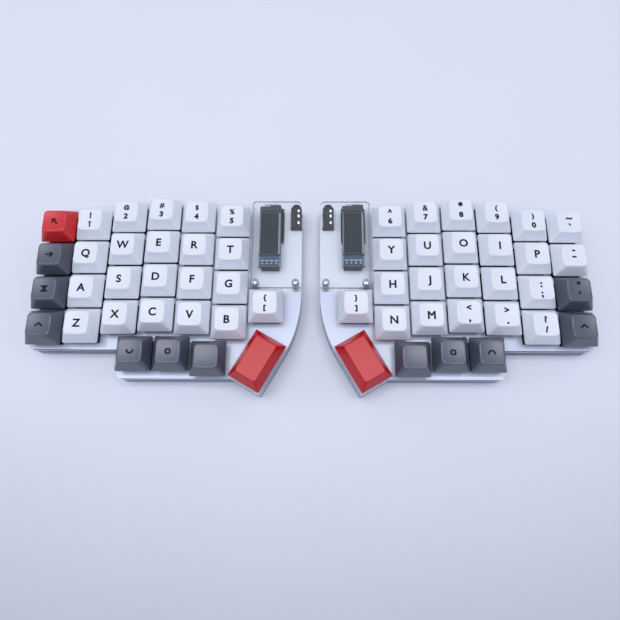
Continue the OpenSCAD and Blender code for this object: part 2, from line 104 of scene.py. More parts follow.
def startMaterial(name):
    material = bpy.data.materials.new(name)
    material.use_nodes = True
    tree = material.node_tree
    tree.nodes.clear()
    return material, tree, addNode(tree, "ShaderNodeTexCoord").outputs["Object"]


def endMaterial(tree, values, links):
    shader = addNode(tree, "ShaderNodeBsdfPrincipled", values, links)
    addNode(tree, "ShaderNodeOutputMaterial", {}, {"Surface": shader.outputs["BSDF"]})


# Moulded plastic: faint clouding from the melt, and the fine grain of a spark-eroded tool
def mouldedPlastic(name, look):
    material, tree, place = startMaterial(name)
    cloud = addNode(
        tree, "ShaderNodeTexNoise", {"Scale": perMm(look["cloud"]), "Detail": 2.0}, {"Vector": place},
    )
    tint = addNode(
        tree, "ShaderNodeMix", {6: hexColour(look["colour"]), 7: hexColour(look["clouded"])},
        {0: cloud.outputs["Fac"]}, data_type="RGBA",
    )
    grain = addNode(
        tree, "ShaderNodeTexNoise", {"Scale": perMm(look["grain"]), "Detail": 3.0, "Roughness": 0.6},
        {"Vector": place},
    )
    rough = addNode(
        tree, "ShaderNodeMapRange",
        {"To Min": look["rough"] - look["roughSpread"], "To Max": look["rough"] + look["roughSpread"]},
        {"Value": grain.outputs["Fac"]},
    )
    bump = addNode(
        tree, "ShaderNodeBump", {"Strength": look["relief"], "Distance": look["grain"] * 0.1 * mm},
        {"Height": grain.outputs["Fac"]},
    )
    endMaterial(
        tree,
        {
            "IOR": look["ior"], "Specular IOR Level": look.get("shine", 0.5),
            "Coat Weight": look.get("coat", 0.0), "Coat Roughness": 0.4,
        },
        {
            "Base Color": tint.outputs[2], "Roughness": rough.outputs["Result"],
            "Normal": bump.outputs["Normal"],
        },
    )
    return material


# PBT caps are matt with a soft sheen; the real grain of 0.05 mm is drawn at 0.3 mm so that it shows
whitePbt = mouldedPlastic("whitePbt", {
    "colour": "#ebeff6", "clouded": "#e6eaf1", "cloud": 9.0, "grain": 0.3, "relief": 0.25,
    "rough": 0.44, "roughSpread": 0.06, "ior": 1.57,
})
greyPbt = mouldedPlastic("greyPbt", {
    "colour": "#4e5462", "clouded": "#484e5c", "cloud": 7.0, "grain": 0.3, "relief": 0.3,
    "rough": 0.36, "roughSpread": 0.06, "ior": 1.57, "shine": 0.4, "coat": 0.9,
})
redPbt = mouldedPlastic("redPbt", {
    "colour": "#d82229", "clouded": "#d11e25", "cloud": 8.0, "grain": 0.3, "relief": 0.25,
    "rough": 0.36, "roughSpread": 0.06, "ior": 1.57, "shine": 0.6,
})
# Long thumb caps are ABS from a polished tool: smooth and shiny
glossyRedAbs = mouldedPlastic("glossyRedAbs", {
    "colour": "#cc1019", "clouded": "#c50d16", "cloud": 8.0, "grain": 0.8, "relief": 0.05,
    "rough": 0.16, "roughSpread": 0.03, "ior": 1.54, "shine": 0.28,
})
# Dye sunk into the caps: no relief of its own, a little lighter where the plastic took less of it
darkDye = mouldedPlastic("darkDye", {
    "colour": "#06070f", "clouded": "#0d0f1b", "cloud": 0.8, "grain": 0.25, "relief": 0.1,
    "rough": 0.6, "roughSpread": 0.06, "ior": 1.5, "shine": 0.25,
})
# POM stems in their natural white: waxy, slightly shiny
naturalPom = mouldedPlastic("naturalPom", {
    "colour": "#e4e2da", "clouded": "#dcdad1", "cloud": 2.0, "grain": 0.4, "relief": 0.1,
    "rough": 0.32, "roughSpread": 0.04, "ior": 1.48,
})
# Glass-filled black nylon of switches, sockets and jacks: slightly speckled, satin
blackNylon = mouldedPlastic("blackNylon", {
    "colour": "#121318", "clouded": "#191a20", "cloud": 0.7, "grain": 0.25, "relief": 0.35,
    "rough": 0.5, "roughSpread": 0.08, "ior": 1.53, "shine": 0.3,
})
# Silicone rubber feet: dull, with a dusting of lint
darkRubber = mouldedPlastic("darkRubber", {
    "colour": "#26272b", "clouded": "#333439", "cloud": 1.5, "grain": 0.35, "relief": 0.5,
    "rough": 0.75, "roughSpread": 0.1, "ior": 1.42,
})


# Glass-epoxy sheet under gloss lacquer: slow waves in the lacquer, pressed layers on the cut edges; each
# board gives its edge colour, and the white ones give a near-black painted shade
def lacqueredBoard(name, look):
    material, tree, place = startMaterial(name)
    normal = addNode(tree, "ShaderNodeNewGeometry").outputs["True Normal"]
    split = addNode(tree, "ShaderNodeSeparateXYZ", {}, {"Vector": normal})
    tilt = addNode(tree, "ShaderNodeMath", {}, {0: split.outputs["Z"]}, operation="ABSOLUTE")
    onEdge = addNode(tree, "ShaderNodeMath", {1: 0.5}, {0: tilt.outputs[0]}, operation="LESS_THAN")
    cloud = addNode(
        tree, "ShaderNodeTexNoise", {"Scale": perMm(look["cloud"]), "Detail": 2.0}, {"Vector": place},
    )
    face = addNode(
        tree, "ShaderNodeMix", {6: hexColour(look["colour"]), 7: hexColour(look["clouded"])},
        {0: cloud.outputs["Fac"]}, data_type="RGBA",
    )
    layers = addNode(  # bands come out about six times as wide as a real layer, so that they show
        tree, "ShaderNodeTexWave", {"Scale": perMm(look["layer"]) / 20, "Distortion": 1.5, "Detail": 2.0},
        {"Vector": place}, bands_direction="Z",
    )
    # edge colour with its layer bands: on the white boards a painted shade, on the others the edge's own
    # colour
    edge = addNode(
        tree, "ShaderNodeMix", {6: hexColour(look["edge"]), 7: hexColour(look["edgeLayer"])},
        {0: layers.outputs["Fac"]}, data_type="RGBA",
    )
    tint = addNode(
        tree, "ShaderNodeMix", {}, {0: onEdge.outputs[0], 6: face.outputs[2], 7: edge.outputs[2]},
        data_type="RGBA",
    )
    waves = addNode(
        tree, "ShaderNodeTexNoise", {"Scale": perMm(look["wave"]), "Detail": 1.0}, {"Vector": place},
    )
    bump = addNode(
        tree, "ShaderNodeBump", {"Strength": look["relief"], "Distance": 0.02 * mm},
        {"Height": waves.outputs["Fac"]},
    )
    rough = addNode(
        tree, "ShaderNodeMix", {2: look["rough"], 3: 0.8}, {0: onEdge.outputs[0]}, data_type="FLOAT",
    )
    # little shine on the cut edges, which keeps the painted shade of the white boards dark
    shine = addNode(tree, "ShaderNodeMix", {2: 0.5, 3: 0.05}, {0: onEdge.outputs[0]}, data_type="FLOAT")
    endMaterial(
        tree, {"IOR": 1.5},
        {
            "Base Color": tint.outputs[2], "Roughness": rough.outputs[0], "Normal": bump.outputs["Normal"],
            "Specular IOR Level": shine.outputs[0],
        },
    )
    return material


# White lacquer on the plates: cool white and glossy; the sawn edge is coloured near black as painted shade
whiteLacquer = lacqueredBoard("whiteLacquer", {
    "colour": "#e2eafc", "clouded": "#dce5f8", "cloud": 14.0, "layer": 0.2, "edge": "#2a313c",
    "edgeLayer": "#20262f", "wave": 3.0, "relief": 0.25, "rough": 0.16,
})
# White solder mask over the copper: coloured whiter than the plates as painted light for the shaded bay under
# the cover, a little less glossy, and its sawn edge near black as painted shade
whiteMaskPaintedLight = lacqueredBoard("whiteMaskPaintedLight", {
    "colour": "#f4f9ff", "clouded": "#eef4fc", "cloud": 10.0, "layer": 0.2, "edge": "#2a313c",
    "edgeLayer": "#20262f", "wave": 2.0, "relief": 0.25, "rough": 0.2,
})
# Black solder mask of the controller: nearly black and glossy, with a tan sawn edge
blackLacquer = lacqueredBoard("blackLacquer", {
    "colour": "#14161c", "clouded": "#1a1c24", "cloud": 3.0, "layer": 0.2, "edge": "#4a4638",
    "edgeLayer": "#38352b", "wave": 1.2, "relief": 0.3, "rough": 0.22,
})
# Blue solder mask of the display's board: deep blue, duller than the rest, with a greenish sawn edge
blueLacquer = lacqueredBoard("blueLacquer", {
    "colour": "#033f5b", "clouded": "#033851", "cloud": 2.0, "layer": 0.2, "edge": "#5a6650",
    "edgeLayer": "#475240", "wave": 1.0, "relief": 0.3, "rough": 0.4,
})


# Turned, rolled or plated metal: bright, with tool marks drawn out along one direction
# Real marks are under 0.1 mm apart; they are drawn at 0.3 to 0.4 mm so that they show
def workedMetal(name, look):
    material, tree, place = startMaterial(name)
    drawn = addNode(tree, "ShaderNodeMapping", {"Scale": look["drawn"]}, {"Vector": place})
    marks = addNode(
        tree, "ShaderNodeTexNoise", {"Scale": perMm(look["mark"]), "Detail": 4.0},
        {"Vector": drawn.outputs["Vector"]},
    )
    tint = addNode(
        tree, "ShaderNodeMix", {6: hexColour(look["colour"]), 7: hexColour(look["dulled"])},
        {0: marks.outputs["Fac"]}, data_type="RGBA",
    )
    rough = addNode(
        tree, "ShaderNodeMapRange", {"To Min": look["rough"] * 0.7, "To Max": look["rough"] * 1.4},
        {"Value": marks.outputs["Fac"]},
    )
    bump = addNode(
        tree, "ShaderNodeBump", {"Strength": look["relief"], "Distance": 0.01 * mm},
        {"Height": marks.outputs["Fac"]},
    )
    endMaterial(
        tree, {"Metallic": 1.0},
        {
            "Base Color": tint.outputs[2], "Roughness": rough.outputs["Result"],
            "Normal": bump.outputs["Normal"],
        },
    )
    return material


# Nickel-plated steel of screws, pins and ports: bright, slightly bluish, with sharp glints
nickelSteel = workedMetal("nickelSteel", {
    "colour": "#dcdfe4", "dulled": "#bfc3ca", "mark": 0.3, "drawn": (1.0, 1.0, 4.0),
    "rough": 0.2, "relief": 0.2,
})
# Turned brass under nickel: fine rings round the spacers and a softer shine
nickelBrass = workedMetal("nickelBrass", {
    "colour": "#cccdd0", "dulled": "#b1b3b7", "mark": 0.4, "drawn": (0.3, 0.3, 3.0),
    "rough": 0.24, "relief": 0.3,
})
# Silver-plated contacts and pins: nearly white, with a dull shine
silverContact = workedMetal("silverContact", {
    "colour": "#f2f2ef", "dulled": "#e4e4e1", "mark": 0.4, "drawn": (1.0, 3.0, 1.0),
    "rough": 0.45, "relief": 0.2,
})
# Tin solder, coloured dark grey as painted shade for the dark surroundings it mirrors: lumpy, with small
# glints
solderPaintedShade = workedMetal("solderPaintedShade", {
    "colour": "#2e3134", "dulled": "#222528", "mark": 0.4, "drawn": (1.0, 1.0, 1.0),
    "rough": 0.3, "relief": 0.4,
})


# Cast acrylic and thin glass: clear where polished, dull and greyer where ground, with faint scuffs
def clearPlastic(name, look):
    material, tree, place = startMaterial(name)
    scuffs = addNode(
        tree, "ShaderNodeTexNoise", {"Scale": perMm(look["scuff"]), "Detail": 5.0}, {"Vector": place},
    )
    rough = addNode(
        tree, "ShaderNodeMapRange",
        {"From Min": 0.4, "From Max": 0.8, "To Min": look["rough"], "To Max": look["scuffed"]},
        {"Value": scuffs.outputs["Fac"]},
    )
    tint = addNode(
        tree, "ShaderNodeMix", {6: hexColour(look["colour"]), 7: hexColour(look["clouded"])},
        {0: scuffs.outputs["Fac"]}, data_type="RGBA",
    )
    links = {"Base Color": tint.outputs[2], "Roughness": rough.outputs["Result"]}
    if look["clear"] == 1.0:  # soft light falls through a flat sheet unbent
        path = addNode(tree, "ShaderNodeLightPath").outputs
        soft = addNode(
            tree, "ShaderNodeMath", {}, {0: path["Is Shadow Ray"], 1: path["Is Diffuse Ray"]},
            operation="MAXIMUM",
        )
        shown = addNode(tree, "ShaderNodeMath", {0: 1.0}, {1: soft.outputs[0]}, operation="SUBTRACT")
        links["Alpha"] = shown.outputs[0]
        normal = addNode(tree, "ShaderNodeNewGeometry").outputs["True Normal"]
        split = addNode(tree, "ShaderNodeSeparateXYZ", {}, {"Vector": normal})
        tilt = addNode(tree, "ShaderNodeMath", {}, {0: split.outputs["Z"]}, operation="ABSOLUTE")
        sawn = addNode(tree, "ShaderNodeMath", {1: 0.5}, {0: tilt.outputs[0]}, operation="LESS_THAN")
        dull = addNode(
            tree, "ShaderNodeMix", {3: look["sawn"]}, {0: sawn.outputs[0], 2: rough.outputs["Result"]},
            data_type="FLOAT",
        )
        links["Roughness"] = dull.outputs[0]
    endMaterial(tree, {"IOR": look["ior"], "Transmission Weight": look["clear"]}, links)
    return material


# Cast acrylic sheet: clear and mirror-smooth on its faces, dull on the sawn edge
clearAcrylic = clearPlastic("clearAcrylic", {
    "colour": "#fdfeff", "clouded": "#f6faff", "scuff": 2.5, "rough": 0.0, "scuffed": 0.03, "ior": 1.49,
    "clear": 1.0, "sawn": 0.5,
})
# Soda-lime glass with ground edges: grey over the dark film
groundGlass = clearPlastic("groundGlass", {
    "colour": "#4c545c", "clouded": "#434b53", "scuff": 0.6, "rough": 0.3, "scuffed": 0.5, "ior": 1.52,
    "clear": 0.3,
})
# Cut soda-lime glass left bare beside the film: pale grey, because the light board shows through
bareGlass = clearPlastic("bareGlass", {
    "colour": "#8c929c", "clouded": "#838993", "scuff": 0.6, "rough": 0.25, "scuffed": 0.4, "ior": 1.52,
    "clear": 0.1,
})
# Screen film under smooth glass: nearly black, a faint weave of dots and mirror-like on top
screenFilm = mouldedPlastic("screenFilm", {
    "colour": "#20232d", "clouded": "#1b1e27", "cloud": 0.9, "grain": 0.5, "relief": 0.0,
    "rough": 0.08, "roughSpread": 0.02, "ior": 1.52,
})
# Polyimide ribbon with a dark cover layer: brownish green, softly shiny
darkRibbon = mouldedPlastic("darkRibbon", {
    "colour": "#33352f", "clouded": "#2b2d29", "cloud": 1.6, "grain": 0.6, "relief": 0.15,
    "rough": 0.3, "roughSpread": 0.05, "ior": 1.6,
})
# Screen-printed white epoxy ink: flat, with a slightly ragged edge
whiteInk = mouldedPlastic("whiteInk", {
    "colour": "#d6dde4", "clouded": "#c6cfd7", "cloud": 0.3, "grain": 0.2, "relief": 0.3,
    "rough": 0.55, "roughSpread": 0.08, "ior": 1.5,
})
print("materials:", len(bpy.data.materials))

# CAD pieces that show as they are
plainFinish = {
    "switch_plates": whiteLacquer,
    "circuit_boards": whiteMaskPaintedLight,
    "bottom_plates": whiteLacquer,
    "spacers": nickelBrass,
    "rubber_feet": darkRubber,
    "display_covers": clearAcrylic,
    "data_ports": nickelSteel,
}
for name, material in plainFinish.items():
    nodes[name].data.materials.clear()
    nodes[name].data.materials.append(material)
print("finished", len(plainFinish), "plain pieces")


# Pieces: small mesh tools, all in millimetres
def addPiece(name, mesh, materials, body, stands=(), sharp=35):
    bmesh.ops.recalc_face_normals(mesh, faces=mesh.faces)
    for face in mesh.faces:
        face.smooth = True
    data = bpy.data.meshes.new(name)
    mesh.to_mesh(data)
    mesh.free()
    data.transform(Matrix.Scale(mm, 4))
    data.set_sharp_from_angle(angle=math.radians(sharp))
    for material in materials:
        data.materials.append(material)
    piece = bpy.data.objects.new(name, data)
    scene.collection.objects.link(piece)
    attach(piece, body)
    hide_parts(*stands)
    return piece


def addBlock(mesh, low, high, bevel=0.0, finish=0):
    size = [b - a for a, b in zip(low, high)]
    middle = [(a + b) / 2 for a, b in zip(low, high)]
    place = Matrix.Translation(middle) @ Matrix.Diagonal((*size, 1))
    made = bmesh.ops.create_cube(mesh, size=1, matrix=place)
    faces = {face for corner in made["verts"] for face in corner.link_faces}
    for face in faces:
        face.material_index = finish
    if bevel:
        edges = {edge for face in faces for edge in face.edges}
        rounded = bmesh.ops.bevel(
            mesh, geom=list(edges), offset=bevel, segments=2, profile=0.5, affect="EDGES",
        )
        for face in rounded["faces"]:
            face.material_index = finish


def addRings(mesh, rings, finish=0, hollow=False):  # skin through rings of points, ends closed or joined
    loops = [[mesh.verts.new(point) for point in ring] for ring in rings]
    count = len(rings[0])
    faces = []
    for low, high in zip(loops, loops[1:] + (loops[:1] if hollow else [])):
        for i in range(count):
            j = (i + 1) % count
            faces.append(mesh.faces.new((low[i], low[j], high[j], high[i])))
    for ring, loop in () if hollow else ((rings[0], loops[0]), (rings[-1], loops[-1])):
        hub = mesh.verts.new(sum(ring, Vector()) / count)
        for i in range(count):
            faces.append(mesh.faces.new((loop[i], loop[(i + 1) % count], hub)))
    for face in faces:
        face.material_index = finish


def boxRing(width, depth, corner, z, cornerSteps=6, edgeSteps=5):
    corners = []
    for quarter in range(4):
        x = (width / 2 - corner) * (1 if quarter in (0, 3) else -1)
        y = (depth / 2 - corner) * (1 if quarter < 2 else -1)
        angles = [math.radians(90 * (quarter + step / cornerSteps)) for step in range(cornerSteps + 1)]
        corners.append([Vector((x + corner * math.cos(a), y + corner * math.sin(a), z)) for a in angles])
    ring = []
    for now, after in zip(corners, corners[1:] + corners[:1]):
        ring += now + [now[-1].lerp(after[0], step / edgeSteps) for step in range(1, edgeSteps)]
    return ring


# Keycaps: shell with drawn-in sides, soft rim and, on the short ones, a round dish
shortCap = {
    "width": 18.3, "depth": 18.3, "height": 7.4, "taper": 6.5, "baseCorner": 1.0, "topCorner": 2.3,
    "dish": 0.8, "dishRadius": 36.0, "rim": 0.6, "wall": 1.4, "ceiling": 5.2, "lip": 0.07,
}
longCap = dict(
    shortCap, depth=27.7, taper=6.7, baseCorner=0.4, topCorner=1.2, dish=0.0, dishRadius=4000.0, rim=0.28,
)
stemSize = {  # each span is from and to a height above the switch plate
    "block": (6.7, 5.5), "blockSpan": (1.0, 6.3), "shoulder": (8.6, 5.4), "shoulderSpan": (1.1, 5.3),
    "cross": (4.0, 1.2), "crossSpan": (6.2, 10.2), "pole": 1.0, "poleSpan": (-3.4, 1.05), "edge": 0.15,
}


def dishHeight(shape, x, y):
    return shape["height"] - shape["dish"] + (x * x + y * y) / (2 * shape["dishRadius"])


def capRings(shape):
    width, depth, height, taper = (shape[k] for k in ("width", "depth", "height", "taper"))
    rim, wall, lip, ceiling = (shape[k] for k in ("rim", "wall", "lip", "ceiling"))
    base = boxRing(width, depth, shape["baseCorner"], 0)
    top = boxRing(width - taper, depth - taper, shape["topCorner"], height)
    inset = boxRing(width - taper - 2 * rim, depth - taper - 2 * rim, max(shape["topCorner"] - rim, 0.2), 0)
    inner = [boxRing(width - 2 * wall - taper * z / height, depth - 2 * wall - taper * z / height, 0.8, z)
             for z in (0.0, lip, ceiling - 0.3, ceiling)]
    roof = [Vector((p.x * 0.5, p.y * 0.5, ceiling)) for p in inner[-1]]
    foot = boxRing(width - 2 * lip, depth - 2 * lip, shape["baseCorner"], 0)
    rings = [roof] + inner[::-1] + [foot]
    sides, curves, meets = [], [], []
    for low, high, inside in zip(base, top, inset):
        share = 1.0
        for _ in range(8):  # where the side line meets the dish
            point = low.lerp(high, share)
            share = dishHeight(shape, point.x, point.y) / height
        meet = low.lerp(high, share)
        start = share - rim / (high - low).length
        end = Vector((inside.x, inside.y, dishHeight(shape, inside.x, inside.y)))
        sides.append([low.lerp(high, s) for s in (0.03, 0.08, 0.35, 0.65, start - 0.03, start)])
        bend = [i / 6 for i in range(1, 7)]
        begin = low.lerp(high, start)
        curves.append([begin * (1 - t) ** 2 + meet * 2 * t * (1 - t) + end * t * t for t in bend])
        meets.append(end)
    rings += [list(ring) for ring in zip(*sides)] + [list(ring) for ring in zip(*curves)]
    for share in (0.96, 0.82, 0.68, 0.54, 0.4, 0.26, 0.14, 0.03):
        flat = [(p.x * share, p.y * share) for p in meets]
        rings.append([Vector((x, y, dishHeight(shape, x, y))) for x, y in flat])
    return rings


def addStem(mesh, lift, finish):  # sliding stem of the switch, under the cap
    long, arm = stemSize["cross"]
    parts = [(stemSize[k], stemSize[k + "Span"], stemSize["edge"]) for k in ("block", "shoulder")]
    parts += [(size, stemSize["crossSpan"], 0) for size in ((long, arm), (arm, long))]
    for (wide, deep), (low, high), edge in parts:
        addBlock(mesh, (-wide / 2, -deep / 2, low - lift), (wide / 2, deep / 2, high - lift), edge, finish)
    radius = stemSize["pole"]
    turns = [i * math.pi / 8 for i in range(16)]
    addRings(mesh, [
        [Vector((radius * math.cos(a), radius * math.sin(a), z - lift)) for a in turns]
        for z in stemSize["poleSpan"]
    ], finish)


# Legends: letters and figures are set type, arrows and marks are drawn as strokes
legendLook = {
    "letter": 4.6, "figure": 3.55, "split": 2.62, "bold": 0.2, "figureBold": 0.24, "denseBold": 0.14,
    "dense": "@#$%&", "stroke": 0.95, "thin": 0.74, "proud": 0.02, "sunk": 0.06,
    "typeHeight": 0.73,  # height of a capital in the built-in type of size 1
}
halfTurn = [math.pi * i / 18 for i in range(19)]
strokeMarks = {
    "arrowUpLeft": [[(1.25, -1.2), (-1.05, 1.1)], [(0.45, 1.2), (-1.15, 1.2), (-1.15, -0.4)]],
    "arrowRight": [[(-1.6, 0), (1.4, 0)], [(0.45, 1.15), (1.55, 0), (0.45, -1.15)]],
    "barsJoined": [
        [(-1.4, 1.3), (1.4, 1.3)], [(-1.4, -1.3), (1.4, -1.3)], [(-0.75, 0.95), (0, 0)],
        [(0.75, 0.95), (0, 0)], [(-0.75, -0.95), (0, 0)], [(0.75, -0.95), (0, 0)],
    ],
    "caret": [[(-1.55, -0.6), (0, 0.75), (1.55, -0.6)]],
    "dashes": [[(-0.4, 2.8), (0.4, 2.8)], [(-0.7, -0.7), (0.7, -0.7)]],
    "cup": [[(-1.5 * math.cos(a), 0.6 - 1.5 * math.sin(a)) for a in halfTurn]],
    "bow": [[(-1.5 * math.cos(a), -0.6 + 1.5 * math.sin(a)) for a in halfTurn]],
    "loop": [[(p.x, p.y) for p in boxRing(2.2, 2.1, 0.75, 0)]],
}
markedKeys = {
    "left_key_tab": "arrowRight", "left_key_lock": "barsJoined", "left_key_shift": "caret",
    "right_key_dash": "dashes", "right_key_shift": "caret", "left_thumb_key_3": "cup",
    "left_thumb_key_2": "loop", "right_thumb_key_2": "loop", "right_thumb_key_3": "bow",
    "left_number_6": "arrowUpLeft",
}
signStrokes = {"1": [[(-0.62, 0.95), (0.2, 1.5), (0.2, -1.5)]]}  # the built-in type has no flag on it
signSize = {  # small signs are set larger than the figures, tall ones smaller
    "*": 1.25, ":": 1.2, ";": 1.2, ",": 1.25, ".": 1.25, "\"": 1.2, "'": 1.25, "~": 1.25, "`": 1.3,
    "@": 0.72, "$": 0.82, "%": 0.92, "#": 0.92, "(": 0.82, ")": 0.82,
    "{": 0.85, "}": 0.85, "[": 0.85, "]": 0.85,
}
pairedKeys = {  # shifted sign above, plain sign below
    "right_key_colon": ":;", "right_key_quote": "\"'", "right_key_comma": "<,", "right_key_period": ">.",
    "right_key_slash": "?/", "left_bracket_key": "{[", "right_bracket_key": "}]",
    "left_number_5": "!1", "left_number_4": "@2", "left_number_3": "#3", "left_number_2": "$4",
    "left_number_1": "%5",
    "right_number_1": "^6", "right_number_2": "&7", "right_number_3": "*8", "right_number_4": "(9",
    "right_number_5": ")0", "right_number_6": "~`",
}


def setType(text, height, bold):  # flat faces of one sign, centred sideways, its capitals' middle at zero
    curve = bpy.data.curves.new("sign", "FONT")
    curve.body = text
    height -= 2 * bold
    curve.size = height / legendLook["typeHeight"]
    curve.resolution_u = 4
    sign = bpy.data.objects.new("sign", curve)
    scene.collection.objects.link(sign)
    flat = bpy.data.meshes.new_from_object(sign.evaluated_get(bpy.context.evaluated_depsgraph_get()))
    bpy.data.objects.remove(sign)
    bpy.data.curves.remove(curve)
    xs = [v.co.x for v in flat.vertices]
    shift = Vector((-(min(xs) + max(xs)) / 2, -height / 2, 0))
    points = [v.co + shift for v in flat.vertices]
    faces = [list(f.vertices) if f.normal.z > 0 else list(f.vertices)[::-1] for f in flat.polygons]
    bpy.data.meshes.remove(flat)
    return embolden(points, faces, bold), faces


def embolden(points, faces, amount):  # moves the outline of flat faces outwards
    steps = {(a, b) for face in faces for a, b in zip(face, face[1:] + face[:1])}
    outward = {}
    for a, b in steps:
        if (b, a) not in steps:
            way = (points[b] - points[a]).normalized()
            for corner in (a, b):
                outward.setdefault(corner, []).append(Vector((way.y, -way.x, 0)))
    moved = list(points)
    for corner, ways in outward.items():
        middle = sum(ways, Vector()).normalized()
        moved[corner] = points[corner] + middle * amount / max(middle.dot(ways[0]), 0.5)
    return moved


def drawStroke(line, width):  # flat ribbon along a line, with round ends unless it is a ring
    path = [Vector((x, y, 0)) for x, y in line]
    closed = len(path) > 24
    if closed:
        path.append(path[0].copy())
    half = width / 2
    sides = []
    for i, point in enumerate(path):
        before = path[i] - path[i - 1] if i else (path[-1] - path[-2] if closed else path[1] - path[0])
        after = path[i + 1] - path[i] if i < len(path) - 1 else (path[1] - path[0] if closed else before)
        a, b = before.normalized(), after.normalized()
        middle = (a + b).normalized()
        across = Vector((-middle.y, middle.x, 0)) * half / max(middle.dot(a), 0.5)
        sides.append((point + across, point - across))
    points = [p for pair in sides for p in pair]
    faces = [[2 * i, 2 * i + 1, 2 * i + 3, 2 * i + 2] for i in range(len(path) - 1)]
    if not closed:
        for end, way in ((0, -1), (len(path) - 1, 1)):
            left, right = sides[end]
            centre = (left + right) / 2
            arm = (left - right) / 2
            out = Vector((arm.y, -arm.x, 0)) * way
            bend = [math.pi * k / 8 for k in range(1, 8)]
            cap = [centre + arm * math.cos(t) + out * math.sin(t) for t in bend]
            start = len(points)
            points += cap
            faces.append([2 * end] + list(range(start, start + 7)) + [2 * end + 1])
    return points, faces


def addLegend(mesh, shape, parts, finish):  # thin closed prisms that follow the dish
    for points, faces in parts:
        tops, bottoms = [], []
        for p in points:
            z = dishHeight(shape, p.x, p.y)
            tops.append(mesh.verts.new((p.x, p.y, z + legendLook["proud"])))
            bottoms.append(mesh.verts.new((p.x, p.y, z - legendLook["sunk"])))
        used = {}
        for face in faces:
            for a, b in zip(face, face[1:] + face[:1]):
                used[frozenset((a, b))] = used.get(frozenset((a, b)), 0) + 1
        made = []
        for face in faces:
            made.append(mesh.faces.new([tops[i] for i in face]))
            made.append(mesh.faces.new([bottoms[i] for i in reversed(face)]))
            for a, b in zip(face, face[1:] + face[:1]):
                if used[frozenset((a, b))] == 1:
                    made.append(mesh.faces.new((tops[b], tops[a], bottoms[a], bottoms[b])))
        for face in made:
            face.material_index = finish


def legendParts(key):
    letter = key.rsplit("_", 1)[1]
    if key in markedKeys:
        return [drawStroke(line, legendLook["stroke"]) for line in strokeMarks[markedKeys[key]]]
    if key in pairedKeys:
        parts = []
        for sign, way in zip(pairedKeys[key], (1, -1)):
            lift = Vector((0, way * legendLook["split"], 0))
            flat = [drawStroke(line, legendLook["thin"]) for line in signStrokes.get(sign, [])]
            bold = legendLook["denseBold" if sign in legendLook["dense"] else "figureBold"]
            flat = flat or [setType(sign, legendLook["figure"] * signSize.get(sign, 1.0), bold)]
            parts += [([p + lift for p in points], faces) for points, faces in flat]
        return parts
    if "_key_" in key and len(letter) == 1 and letter.isalpha():
        return [setType(letter.upper(), legendLook["letter"], legendLook["bold"])]
    return []


shortRings, longRings = capRings(shortCap), capRings(longCap)
capLift = 6.2  # from the switch plate to a cap's lower edge
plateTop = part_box("switch_plates")[1].z / mm


def addKey(name, node, x, y, plastic, turn=0.0, long=False):
    mesh = bmesh.new()
    addRings(mesh, longRings if long else shortRings)
    addStem(mesh, capLift, 2)
    addLegend(mesh, longCap if long else shortCap, legendParts(name), 1)
    place = Matrix.Translation((x, y, plateTop + capLift)) @ Matrix.Rotation(math.radians(turn), 4, "Z")
    bmesh.ops.transform(mesh, matrix=place, verts=mesh.verts)
    addPiece("cap_" + name, mesh, [plastic, darkDye, naturalPom], node, [node], 60)
    addSwitch(name.split("_")[0], x, y, turn, switchLook)


# Switch under each cap: base with its lip on the plate, post and pins, and a tapered top
switchLook = {
    "lip": 15.6, "lipHigh": 1.0, "shoulder": 15.0, "top": (10.2, 9.6), "high": 6.6, "body": 13.9, "deep": 5.0,
    "well": (9.2, 6.1), "opening": (7.3, 6.1), "wellFloor": -4.3, "bore": 2.6, "boreEnd": -7.7, "post": 4.0,
    "postEnd": -8.3, "pins": ((-3.81, 2.54), (2.54, 5.08)), "pin": (1.3, 0.3), "roof": 1.0, "hollow": 13.4,
}
switchMeshes = {"left": bmesh.new(), "right": bmesh.new()}


def addSwitch(side, x, y, turn, look):
    mesh = bmesh.new()

    def ring(width, depth, corner, z):
        return boxRing(width, depth, corner, z, 3, 1)

    lip, body, post, bore = look["lip"], look["body"], look["post"], look["bore"]
    well, opening, top, lipHigh = look["well"], look["opening"], look["top"], look["lipHigh"]
    low, deep, high, roof = look["wellFloor"], -look["deep"], look["high"], look["high"] - look["roof"]
    addRings(mesh, [
        ring(post, post, post / 2, look["postEnd"]), ring(post, post, post / 2, deep),
        ring(body - 0.6, body - 0.6, 0.4, deep), ring(body, body, 0.4, deep + 0.5), ring(body, body, 0.4, 0),
        ring(lip, lip, 0.5, 0.02), ring(lip, lip, 0.5, lipHigh - 0.2),
        ring(lip - 0.4, lip - 0.4, 0.5, lipHigh), ring(*well, 0.3, lipHigh), ring(*well, 0.3, low),
        ring(bore, bore, bore / 2, low), ring(bore, bore, bore / 2, look["boreEnd"]),
    ], 0)
    shoulder, hollow, seam = look["shoulder"], look["hollow"], lipHigh + 0.03
    addRings(mesh, [
        ring(shoulder, shoulder, 0.9, seam), ring(shoulder, shoulder, 0.9, 1.9),
        ring(top[0] + 0.5, top[1] + 0.5, 0.9, high - 0.3), ring(*top, 0.8, high), ring(*opening, 0.3, high),
        ring(*opening, 0.3, roof), ring(top[0] - 1.0, top[1] - 1.0, 0.5, roof),
        ring(hollow, hollow, 0.5, seam),
    ], 0, True)
    wide, thin = (size / 2 for size in look["pin"])
    for px, py in look["pins"]:
        start, end = (px - wide, py - thin, look["postEnd"]), (px + wide, py + thin, deep + 0.1)
        addBlock(mesh, start, end, 0.04, 1)
    place = Matrix.Translation((x, y, plateTop)) @ Matrix.Rotation(math.radians(turn), 4, "Z")
    bmesh.ops.transform(mesh, matrix=place, verts=mesh.verts)
    step = bpy.data.meshes.new("switch")
    mesh.to_mesh(step)
    mesh.free()
    switchMeshes[side].from_mesh(step)
    bpy.data.meshes.remove(step)


